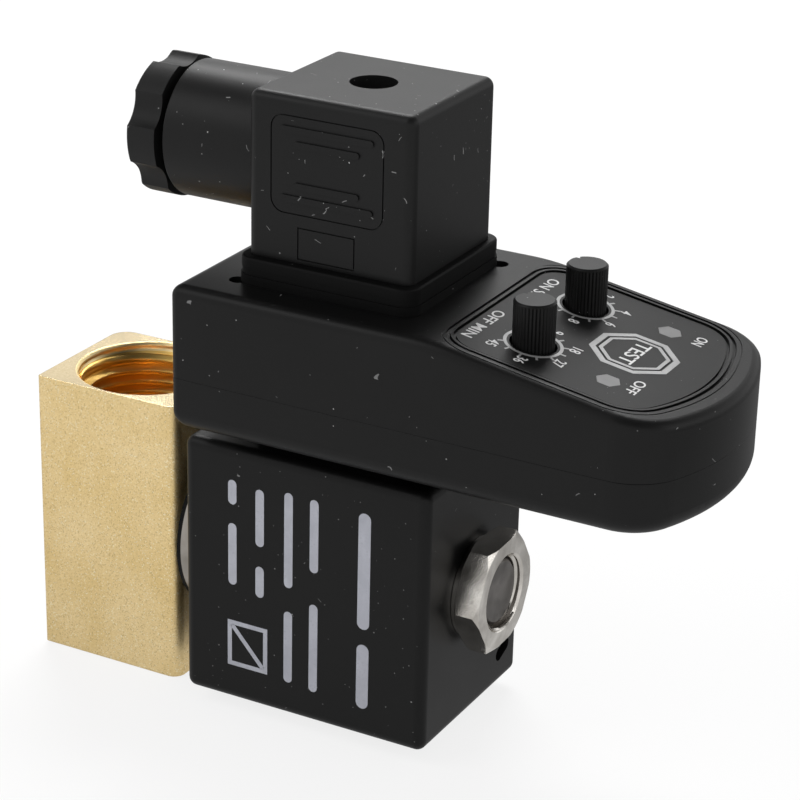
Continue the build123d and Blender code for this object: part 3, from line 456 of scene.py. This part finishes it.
inkShared = {"grainScale": 2600.0, "patchScale": 300.0, "thinLow": 0.52, "thinHigh": 0.7, "thinShare": 0.5,
             "streakShare": 0.45, "wornRough": 0.1, "bump": 0.2, "bumpDepth": 0.01 * mm}
inkSettings = {
    "silverInk": {"pale": grey(0.32), "dark": grey(0.17), "rough": 0.38, "metallic": 0.25},
    "letterInk": {"pale": grey(0.66), "dark": grey(0.46), "rough": 0.5, "metallic": 0.0},
    "coilInk": {"pale": (0.5, 0.51, 0.57, 1), "dark": (0.33, 0.34, 0.39, 1), "rough": 0.5, "metallic": 0.0},
}


def printedInk(name, own):
    # screen-printed ink: thin spots let the ground show a little
    settings = dict(inkShared, **own)
    material, tree, shader = startMaterial(name)
    grain = grainOf(tree, settings["grainScale"], settings["patchScale"])
    thinShare = settings["thinShare"]
    thin = remap(tree, grain["Height"], settings["thinLow"], settings["thinHigh"], 0.0, thinShare)
    streak = calc(tree, "MULTIPLY", grain["Patches"], settings["streakShare"])
    colour = mixColour(tree, calc(tree, "MAXIMUM", thin, streak), settings["pale"], settings["dark"])
    worn = remap(tree, thin, 0.0, thinShare, settings["rough"], settings["rough"] + settings["wornRough"])
    setSockets(tree, shader, {"Base Color": colour, "Roughness": worn, "Metallic": settings["metallic"]})
    addBump(tree, shader, grain["Height"], settings["bump"], settings["bumpDepth"])
    return material


windowSettings = {"grainScale": 5000.0, "patchScale": 200.0, "dark": 0.105, "light": 0.135, "roughLow": 0.33,
                  "roughHigh": 0.4, "bump": 0.2, "bumpDepth": 0.01 * mm}


def windowFilm(settings):
    material, tree, shader = startMaterial("windowFilm")
    grain = grainOf(tree, settings["grainScale"], settings["patchScale"])
    colour = mixColour(tree, grain["Patches"], grey(settings["dark"]), grey(settings["light"]))
    rough = remap(tree, grain["Patches"], 0.0, 1.0, settings["roughLow"], settings["roughHigh"])
    setSockets(tree, shader, {"Base Color": colour, "Roughness": rough})
    addBump(tree, shader, grain["Height"], settings["bump"], settings["bumpDepth"])
    return material


finishes = {name: mouldedPlastic(name, settings) for name, settings in plasticSettings.items()}
finishes.update({name: metalFinish(name, settings) for name, settings in metalSettings.items()})
finishes.update({name: printedInk(name, settings) for name, settings in inkSettings.items()})
finishes["blastedBrass"] = brassFinish(brassSettings)
finishes["enamelledCopper"] = copperWinding(copperSettings)
finishes["circuitBoardMask"] = boardFinish(boardSettings)
finishes["overlayFilm"] = overlayFilm(overlaySettings)
finishes["windowFilm"] = windowFilm(windowSettings)

nodeFinish = {
    "blastedBrass": ["valve_body"],
    "gasketRubber": ["tube_seal", "plunger_seal", "coil_washer", "timer_seal", "plug_gasket",
                     "gland_grommet"],
    "drawnStainless": ["armature_tube", "plunger_spring"],
    "coreSteel": ["fixed_core", "plunger", "coil_yoke"],
    "turnedSteel": ["coil_plate"],
    "nickelPlate": ["nut_washer", "coil_nut"],
    "enamelledCopper": ["shading_ring", "coil_winding"],
    "coilPlastic": ["coil_case"],
    "spoolPlastic": ["coil_bobbin"],
    "tinnedMetal": ["coil_terminals", "terminal_nut", "base_screws", "timer_sockets", "timer_pins",
                    "off_time_shaft", "on_time_shaft", "plug_contacts", "clamp_screws", "fixing_screw"],
    "housingPlastic": ["timer_base", "timer_housing"],
    "circuitBoardMask": ["circuit_board"],
    "componentPlastic": ["relay", "capacitor", "test_switch", "off_time_pot", "on_time_pot"],
    "knobPlastic": ["off_time_knob", "on_time_knob"],
    "overlayFilm": ["panel_label", "test_button"],
    "windowFilm": ["on_window", "off_window", "timer_lamps"],
    "connectorPlastic": ["plug_housing", "plug_insert"],
    "glandPlastic": ["gland_nut", "gland_washer"],
}
for finish, members in nodeFinish.items():
    for member in members:
        slots = cadNodes[member].data.materials
        slots.clear()
        slots.append(finishes[finish])
finished = sum(len(members) for members in nodeFinish.values())
print("finishes on", finished, "of", len(cadNodes), "nodes")


sharpAngle = math.radians(35)


def makePiece(name, points, faces, finish, body):
    mesh = bpy.data.meshes.new(name)
    mesh.from_pydata([tuple(point) for point in points], [], faces)
    mesh.validate()
    mesh.polygons.foreach_set("use_smooth", [True] * len(mesh.polygons))
    mesh.set_sharp_from_angle(angle=sharpAngle)
    mesh.materials.append(finishes[finish])
    piece = bpy.data.objects.new(name, mesh)
    bpy.context.scene.collection.objects.link(piece)
    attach(piece, body)
    return piece


def extrudeOutline(loops, thick):
    # flat closed solid from rings of 2D points: one ring is a plate, two rings of equal length are a band
    outer = loops[0]
    count = len(outer)
    points = [(x, y, 0.0) for x, y in outer] + [(x, y, thick) for x, y in outer]
    faces = [(i, (i + 1) % count, (i + 1) % count + count, i + count) for i in range(count)]
    if len(loops) == 1:
        faces.append(tuple(range(count - 1, -1, -1)))
        faces.append(tuple(range(count, 2 * count)))
        return points, faces
    shift = 2 * count
    points += [(x, y, 0.0) for x, y in loops[1]] + [(x, y, thick) for x, y in loops[1]]
    for i in range(count):
        j = (i + 1) % count
        faces.append((shift + j, shift + i, shift + count + i, shift + count + j))
        faces.append((j, i, shift + i, shift + j))
        faces.append((count + i, count + j, shift + count + j, shift + count + i))
    return points, faces


def circlePoints(radius, count):
    turn = 2 * math.pi / count
    return [(radius * math.cos(turn * i), radius * math.sin(turn * i)) for i in range(count)]


def placed(points, matrix):
    return [matrix @ Vector(point) for point in points]


ridgeShape = {"flank": 0.45, "tip": 0.06}  # half widths at root and crest, as shares of the pitch


def makeRidge(name, settings, finish, body):
    # one helical thread ridge: a four-sided section that runs down a bore and fades out at both ends
    steps = int(settings["turns"] * settings["segments"])
    points = []
    for i in range(steps + 1):
        share = i / steps
        angle = 2 * math.pi * settings["turns"] * share
        fade = min(1.0, min(share, 1 - share) * settings["turns"] / settings["fadeTurns"])
        along = settings["pitch"] * settings["turns"] * share
        crest = settings["root"] + (settings["crest"] - settings["root"]) * fade
        flank = settings["pitch"] * ridgeShape["flank"]
        tip = settings["pitch"] * ridgeShape["tip"]
        section = ((settings["root"], -flank), (crest, -tip), (crest, tip), (settings["root"], flank))
        for radius, offset in section:
            local = Vector((radius * math.cos(angle), radius * math.sin(angle), along + offset))
            points.append(settings["place"] @ local)
    faces = []
    for i in range(steps):
        for k in range(4):
            a = 4 * i + k
            b = 4 * i + (k + 1) % 4
            faces.append((a, b, b + 4, a + 4))
    faces.append((3, 2, 1, 0))
    faces.append(tuple(4 * steps + k for k in range(4)))
    return makePiece(name, points, faces, finish, body)


lettering = {"sizeRatio": 1.4, "weight": 0.012, "condensed": 0.88, "curveSteps": 4}


def makeText(name, words, fit, place, finish, body, thick):
    # fit is the printed length and height; a length of 0 keeps the letters' own width
    length, height = fit
    curve = bpy.data.curves.new(name, "FONT")
    curve.body = words
    curve.size = height * lettering["sizeRatio"]
    curve.offset = height * lettering["weight"]
    curve.extrude = thick / 2
    curve.resolution_u = lettering["curveSteps"]
    holder = bpy.data.objects.new(name + "Curve", curve)
    bpy.context.scene.collection.objects.link(holder)
    bpy.context.view_layer.update()
    mesh = bpy.data.meshes.new_from_object(holder.evaluated_get(bpy.context.evaluated_depsgraph_get()))
    bpy.data.objects.remove(holder)
    mesh.name = name
    xs = [vertex.co.x for vertex in mesh.vertices]
    ys = [vertex.co.y for vertex in mesh.vertices]
    stretchY = height / (max(ys) - min(ys))
    stretchX = length / (max(xs) - min(xs)) if length else stretchY * lettering["condensed"]
    centred = Matrix.Translation((-(max(xs) + min(xs)) / 2, -(max(ys) + min(ys)) / 2, thick / 2))
    mesh.transform(place @ Matrix.Diagonal((stretchX, stretchY, 1.0, 1.0)) @ centred)
    mesh.materials.clear()
    mesh.materials.append(finishes[finish])
    piece = bpy.data.objects.new(name, mesh)
    bpy.context.scene.collection.objects.link(piece)
    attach(piece, body)
    return piece


portThread = {"crest": 9.32 * mm, "root": 10.56 * mm, "pitch": 1.814 * mm, "turns": 5.6, "segments": 96,
              "fadeTurns": 0.4, "upperDepth": 12.2 * mm, "lowerLead": 1.3 * mm}
bodyLow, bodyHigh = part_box("valve_body")
upper = dict(portThread, place=Matrix.Translation((0, 0, bodyHigh.z - portThread["upperDepth"])))
lower = dict(portThread, place=Matrix.Translation((0, 0, bodyLow.z + portThread["lowerLead"])))
makeRidge("upper_port_thread", upper, "blastedBrass", "valve")
makeRidge("lower_port_thread", lower, "blastedBrass", "valve")

nutThread = {"crest": 5.55 * mm, "root": 6.0 * mm, "pitch": 1.0 * mm, "turns": 1.1, "segments": 72,
             "fadeTurns": 0.2, "depth": 1.5 * mm}
nutLow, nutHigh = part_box("coil_nut")
nutPlace = Matrix.Translation((nutHigh.x - nutThread["depth"], 0, (nutLow.z + nutHigh.z) / 2))
nutThread["place"] = nutPlace @ Matrix.Rotation(math.pi / 2, 4, "Y")
makeRidge("nut_thread", nutThread, "nickelPlate", "valve")
print("threads cut")

# the return spring shortens as the armature lifts, so a copy of it stands for the rigid one
springNode = cadNodes["plunger_spring"]
spring = bpy.data.objects.new("return_spring", springNode.data.copy())
bpy.context.scene.collection.objects.link(spring)
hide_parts("plunger_spring")
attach(spring, "valve")
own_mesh(spring)
print("return spring fitted")


panel = {"slope": math.radians(9.5), "labelThick": 0.3 * mm, "labelStart": 1.25 * mm, "lift": 0.004 * mm,
         "inkThick": 0.02 * mm, "octagonInner": 5.3 * mm, "octagonOuter": 6.2 * mm, "buttonInner": 4.3 * mm,
         "buttonOuter": 4.88 * mm, "buttonAt": 23.1 * mm, "testFit": (7.9 * mm, 2.3 * mm)}
dial = {"x": 72.15 * mm, "y": 8.8 * mm, "ringInner": 3.92 * mm, "ringOuter": 4.42 * mm, "ringSegments": 72,
        "tickEnd": 5.25 * mm, "tickOverlap": 0.05 * mm, "tickWidth": 0.34 * mm, "tickStep": 29.0,
        "tickCount": 11, "numberRadius": 6.2 * mm, "numberHeight": 1.75 * mm, "numberFirst": 81.0,
        "numberStep": 54.0}
panelWords = {  # word, x, y, printed length and height, all in millimetres
    "off_dial_word": ("OFF MIN", 64.1, -8.65, 11.3, 1.8),
    "on_dial_word": ("ON SEC", 65.0, 8.65, 9.7, 1.8),
    "on_lamp_word": ("ON", 89.6, 11.35, 3.1, 1.7),
    "off_lamp_word": ("OFF", 88.8, -9.9, 4.7, 1.7),
}
labelLow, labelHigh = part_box("panel_label")
slopeSine = math.sin(panel["slope"])
slopeCosine = math.cos(panel["slope"])
labelCorner = Vector((labelLow.x + panel["labelThick"] * slopeSine, 0, labelHigh.z))
downSlope = Vector((slopeCosine, 0, -slopeSine))
offPanel = Vector((slopeSine, 0, slopeCosine))
panelOrigin = labelCorner - downSlope * panel["labelStart"] + offPanel * panel["lift"]


def onPanel(along, across, turn=0.0):
    # a frame lying on the label: its X runs down the slope, its Y across the part
    place = panelOrigin + downSlope * along
    place.y += across
    axes = Matrix((downSlope, Vector((0, 1, 0)), offPanel)).transposed().to_4x4()
    return Matrix.Translation(place) @ axes @ Matrix.Rotation(turn, 4, "Z")


readTurn = -math.pi / 2  # lettering reads toward the front, with its top down the slope


def panelBand(name, loops, matrix, body):
    points, faces = extrudeOutline(loops, panel["inkThick"])
    return makePiece(name, placed(points, matrix), faces, "silverInk", body)


def panelText(name, words, fit, along, across, body="coil"):
    place = onPanel(along, across, readTurn)
    return makeText(name, words, fit, place, "letterInk", body, panel["inkThick"])


def alongFromX(x):
    return (x - panelOrigin.x) / slopeCosine


def makeDial(name, side, numbers):
    centre = alongFromX(dial["x"])
    across = side * dial["y"]
    ringLoops = [circlePoints(dial[edge], dial["ringSegments"]) for edge in ("ringOuter", "ringInner")]
    panelBand(name + "_ring", ringLoops, onPanel(centre, across), "coil")
    points = []
    faces = []
    first = dial["tickStep"] * (dial["tickCount"] - 1) / 2
    for i in range(dial["tickCount"]):
        angle = math.radians(first - dial["tickStep"] * i)
        half = dial["tickWidth"] / 2
        inner = dial["ringOuter"] - dial["tickOverlap"]
        outline = [(inner, -half), (dial["tickEnd"], -half), (dial["tickEnd"], half), (inner, half)]
        tickPoints, tickFaces = extrudeOutline([outline], panel["inkThick"])
        shift = len(points)
        points += placed(tickPoints, onPanel(centre, across, angle))
        faces += [tuple(index + shift for index in face) for face in tickFaces]
    makePiece(name + "_ticks", points, faces, "silverInk", "coil")
    for i, number in enumerate(numbers):
        angle = math.radians(dial["numberFirst"] - dial["numberStep"] * i)
        along = centre + dial["numberRadius"] * math.cos(angle)
        aside = across + dial["numberRadius"] * math.sin(angle)
        panelText(f"{name}_number_{i + 1}", str(number), (0.0, dial["numberHeight"]), along, aside)


def octagon(halfFlat):
    corner = halfFlat / math.cos(math.pi / 8)
    angles = [math.pi / 8 + math.pi / 4 * i for i in range(8)]
    return [(corner * math.cos(angle), corner * math.sin(angle)) for angle in angles]


makeDial("off_dial", -1, [9 * step for step in range(1, 6)])
makeDial("on_dial", 1, [2 * step for step in range(1, 6)])
buttonPlace = onPanel(panel["buttonAt"], 0.0)
outerLoops = [octagon(panel["octagonOuter"]), octagon(panel["octagonInner"])]
innerLoops = [octagon(panel["buttonOuter"]), octagon(panel["buttonInner"])]
panelBand("test_outer_line", outerLoops, buttonPlace, "coil")
panelBand("test_inner_line", innerLoops, buttonPlace, "test")
panelText("test_word", "TEST", panel["testFit"], panel["buttonAt"], 0.0, "test")
for name, (words, x, y, length, height) in panelWords.items():
    panelText(name, words, (length * mm, height * mm), alongFromX(x * mm), y * mm)
print("panel printed")


# plain rules stand where a maker would print: each row is its x, its size, and the ends of its rules down
# the face, in millimetres
coilPrint = {"lift": 0.004 * mm, "thick": 0.02 * mm, "wide": 2.1, "narrow": 1.5,
             "rows": [(49.3, "wide", [(40.2, 20.8), (18.2, 7.2)]),
                      (40.6, "narrow", [(40.3, 28.1), (22.7, 7.6)]),
                      (36.1, "narrow", [(40.4, 24.4), (20.3, 8.0)]),
                      (31.0, "narrow", [(39.7, 30.1), (26.7, 21.4)]),
                      (26.1, "narrow", [(40.2, 36.1), (32.9, 22.4)])],
             "symbolX": (25.2, 32.4), "symbolZ": (8.3, 16.2), "line": 0.75}
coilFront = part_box("coil_case")[0].y


def onCoilFront(x, z):
    # a frame on the coil's front: its X runs down, its Y toward the nut end
    axes = Matrix((Vector((0, 0, -1)), Vector((1, 0, 0)), Vector((0, -1, 0)))).transposed().to_4x4()
    return Matrix.Translation((x * mm, coilFront - coilPrint["lift"], z * mm)) @ axes


def roundedBar(length, width, segments=10):
    half = width / 2
    reach = length / 2 - half
    bar = []
    for centre, first in ((reach, -math.pi / 2), (-reach, math.pi / 2)):
        for i in range(segments + 1):
            angle = first + math.pi * i / segments
            bar.append((centre + half * math.cos(angle), half * math.sin(angle)))
    return bar


def coilBand(name, loops, place):
    points, faces = extrudeOutline(loops, coilPrint["thick"])
    return makePiece(name, placed(points, place), faces, "coilInk", "coil")


for row, (x, size, spans) in enumerate(coilPrint["rows"]):
    for part, (top, bottom) in enumerate(spans):
        bar = roundedBar((top - bottom) * mm, coilPrint[size] * mm)
        coilBand(f"coil_rule_{row + 1}_{part + 1}", [bar], onCoilFront(x, (top + bottom) / 2))

# the general sign for a solenoid coil: a box with one diagonal
lowX, highX = coilPrint["symbolX"]
lowZ, highZ = coilPrint["symbolZ"]
symbolPlace = onCoilFront((lowX + highX) / 2, (lowZ + highZ) / 2)
halfLong = (highZ - lowZ) / 2 * mm
halfWide = (highX - lowX) / 2 * mm
line = coilPrint["line"] * mm
corners = ((-1, -1), (1, -1), (1, 1), (-1, 1))
outerBox = [(i * halfLong, j * halfWide) for i, j in corners]
innerBox = [(i * (halfLong - line), j * (halfWide - line)) for i, j in corners]
coilBand("coil_sign_box", [outerBox, innerBox], symbolPlace)
slant = math.atan2(halfWide - line, halfLong - line)
slash = roundedBar(2 * math.hypot(halfWide - line, halfLong - line), line)
coilBand("coil_sign_slash", [slash], symbolPlace @ Matrix.Rotation(slant, 4, "Z"))
print("coil printed")


# in reflections the floor glows bright in front and dimmer behind the part: the dimmer back is painted shade
# of the floor there
stage = {"size": 3.0, "drop": 0.0003, "floorColour": 0.86, "cameraShare": 0.82, "glowFront": 0.95,
         "shadedGlowBack": 0.38, "frontY": -0.08, "backY": 0.08, "fill": 0.55}
skyStops = ((0.0, 1.0), (0.26, 1.0), (0.39, 0.9), (0.515, 0.45), (0.7, 0.12), (1.0, 0.05))


def mirroredRay(tree, path):
    return calc(tree, "MAXIMUM", path.outputs["Is Glossy Ray"], path.outputs["Is Transmission Ray"])


def makeStage():
    size = stage["size"]
    mesh = bpy.data.meshes.new("floor")
    corners = [(-size, -size, 0), (size, -size, 0), (size, size, 0), (-size, size, 0)]
    mesh.from_pydata(corners, [], [(0, 1, 2, 3)])
    floor = bpy.data.objects.new("floor", mesh)
    floor.location.z = -stage["drop"]
    bpy.context.scene.collection.objects.link(floor)
    material = bpy.data.materials.new("paleFloor")
    material.use_nodes = True
    tree = material.node_tree
    tree.nodes.clear()
    path = addNode(tree, "LightPath")
    mirrored = mirroredRay(tree, path)
    across = addNode(tree, "SeparateXYZ", {0: partCoords(tree)}).outputs[1]
    # painted shade: the glow seen in reflections falls off toward the back, as the floor behind the part
    # would be shaded
    glowing = remap(tree, across, stage["frontY"], stage["backY"], stage["glowFront"], stage["shadedGlowBack"])
    strength = mixValue(tree, mirrored, 1.0, glowing)
    share = calc(tree, "MULTIPLY", path.outputs["Is Camera Ray"], stage["cameraShare"])
    share = calc(tree, "MAXIMUM", share, mirrored)
    diffuse = addNode(tree, "BsdfDiffuse", {"Color": grey(stage["floorColour"])})
    glow = addNode(tree, "Emission", {"Color": grey(1.0), "Strength": strength})
    both = addNode(tree, "MixShader", {0: share, 1: diffuse.outputs[0], 2: glow.outputs[0]})
    output = addNode(tree, "OutputMaterial")
    tree.links.new(both.outputs[0], output.inputs[0])
    mesh.materials.append(material)


def makeWorld():
    # white to the eye; metal sees it fall off overhead, as under a dark studio ceiling
    world = bpy.data.worlds.new("studio")
    bpy.context.scene.world = world
    world.use_nodes = True
    tree = world.node_tree
    tree.nodes.clear()
    height = addNode(tree, "SeparateXYZ", {0: addNode(tree, "TexCoord").outputs["Generated"]}).outputs[2]
    ramp = addNode(tree, "ValToRGB", {0: height})
    stops = ramp.color_ramp.elements
    for i, (position, value) in enumerate(skyStops):
        stop = stops[i] if i < 2 else stops.new(position)
        stop.position = position
        stop.color = grey(value)
    sky = addNode(tree, "SeparateColor", {0: ramp.outputs[0]}).outputs[0]
    path = addNode(tree, "LightPath")
    strength = mixValue(tree, mirroredRay(tree, path), stage["fill"], sky)
    strength = mixValue(tree, path.outputs["Is Camera Ray"], strength, 1.0)
    background = addNode(tree, "Background", {"Color": grey(1.0), "Strength": strength})
    output = addNode(tree, "OutputWorld")
    tree.links.new(background.outputs[0], output.inputs[0])


lamps = {
    "keyBox": {"at": (-0.45, -0.5, 0.75), "size": (0.5, 0.5), "power": 1.9},
    "backBox": {"at": (-0.24, 0.52, 0.75), "size": (0.5, 0.35), "power": 6.5},
    "sideBox": {"at": (0.75, 0.15, 0.45), "size": (0.4, 0.5), "power": 0.6},
}


def makeLamps(target):
    for name, lamp in lamps.items():
        light = bpy.data.lights.new(name, "AREA")
        light.shape = "RECTANGLE"
        light.size = lamp["size"][0]
        light.size_y = lamp["size"][1]
        light.energy = lamp["power"]
        holder = bpy.data.objects.new(name, light)
        holder.location = lamp["at"]
        holder.rotation_euler = (target - holder.location).to_track_quat("-Z", "Y").to_euler()
        bpy.context.scene.collection.objects.link(holder)


cameraSettings = {"target": (53.335, -13.597, 58.507), "distance": 392.18, "azimuth": 28.103,
                  "elevation": 22.907, "roll": -1.351, "lens": 120.86, "clipStart": 0.01}


def makeCamera():
    azimuth = math.radians(cameraSettings["azimuth"])
    elevation = math.radians(cameraSettings["elevation"])
    roll = math.radians(cameraSettings["roll"])
    flat = math.cos(elevation)
    back = Vector((math.sin(azimuth) * flat, -math.cos(azimuth) * flat, math.sin(elevation)))
    levelRight = Vector((math.cos(azimuth), math.sin(azimuth), 0))
    levelUp = back.cross(levelRight)
    right = math.cos(roll) * levelRight - math.sin(roll) * levelUp
    up = math.sin(roll) * levelRight + math.cos(roll) * levelUp
    target = Vector(cameraSettings["target"]) * mm
    data = bpy.data.cameras.new("viewCamera")
    data.lens = cameraSettings["lens"]
    data.clip_start = cameraSettings["clipStart"]
    camera = bpy.data.objects.new("viewCamera", data)
    axes = Matrix((right, up, back)).transposed().to_4x4()
    camera.matrix_world = Matrix.Translation(target + back * cameraSettings["distance"] * mm) @ axes
    bpy.context.scene.collection.objects.link(camera)
    bpy.context.scene.camera = camera
    return target


makeStage()
makeWorld()
makeLamps(makeCamera())
bpy.context.scene.view_settings.view_transform = "Standard"
print("stage, light and camera set")
